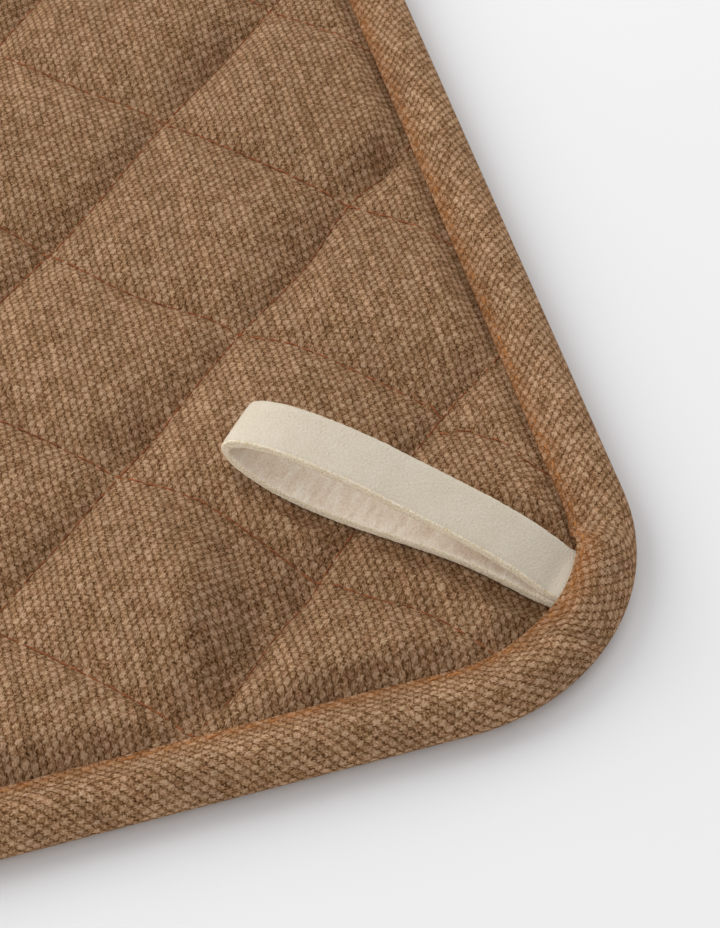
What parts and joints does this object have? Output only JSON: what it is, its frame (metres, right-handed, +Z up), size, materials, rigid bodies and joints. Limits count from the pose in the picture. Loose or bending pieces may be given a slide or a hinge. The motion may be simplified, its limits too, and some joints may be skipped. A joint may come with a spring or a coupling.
{
  "type": "quilted pot holder",
  "caption": "Square quilted canvas pot holder with a bound edge, rounded corners and a leather hanging loop sewn into a corner.",
  "frame": {"origin": "on the surface that the pot holder lies on, under the middle of its square outline", "axes": "+Z up out of the quilted face, X and Y along the straight edges, and the loop in the corner at +X, -Y"},
  "size_m": [0.21, 0.21, 0.0185],
  "materials": {
    "brown_canvas": "coarse plain weave, matt",
    "brown_canvas_binding": "the same coarse plain weave, cut on the bias, matt",
    "cream_leather": "fine-grained outer face, suede inner face and raw cut edges"
  },
  "bodies": {
    "root": {"quilted_panel": "brown_canvas", "edge_binding": "brown_canvas_binding", "hanging_loop": "cream_leather"}
  },
  "joints": []
}
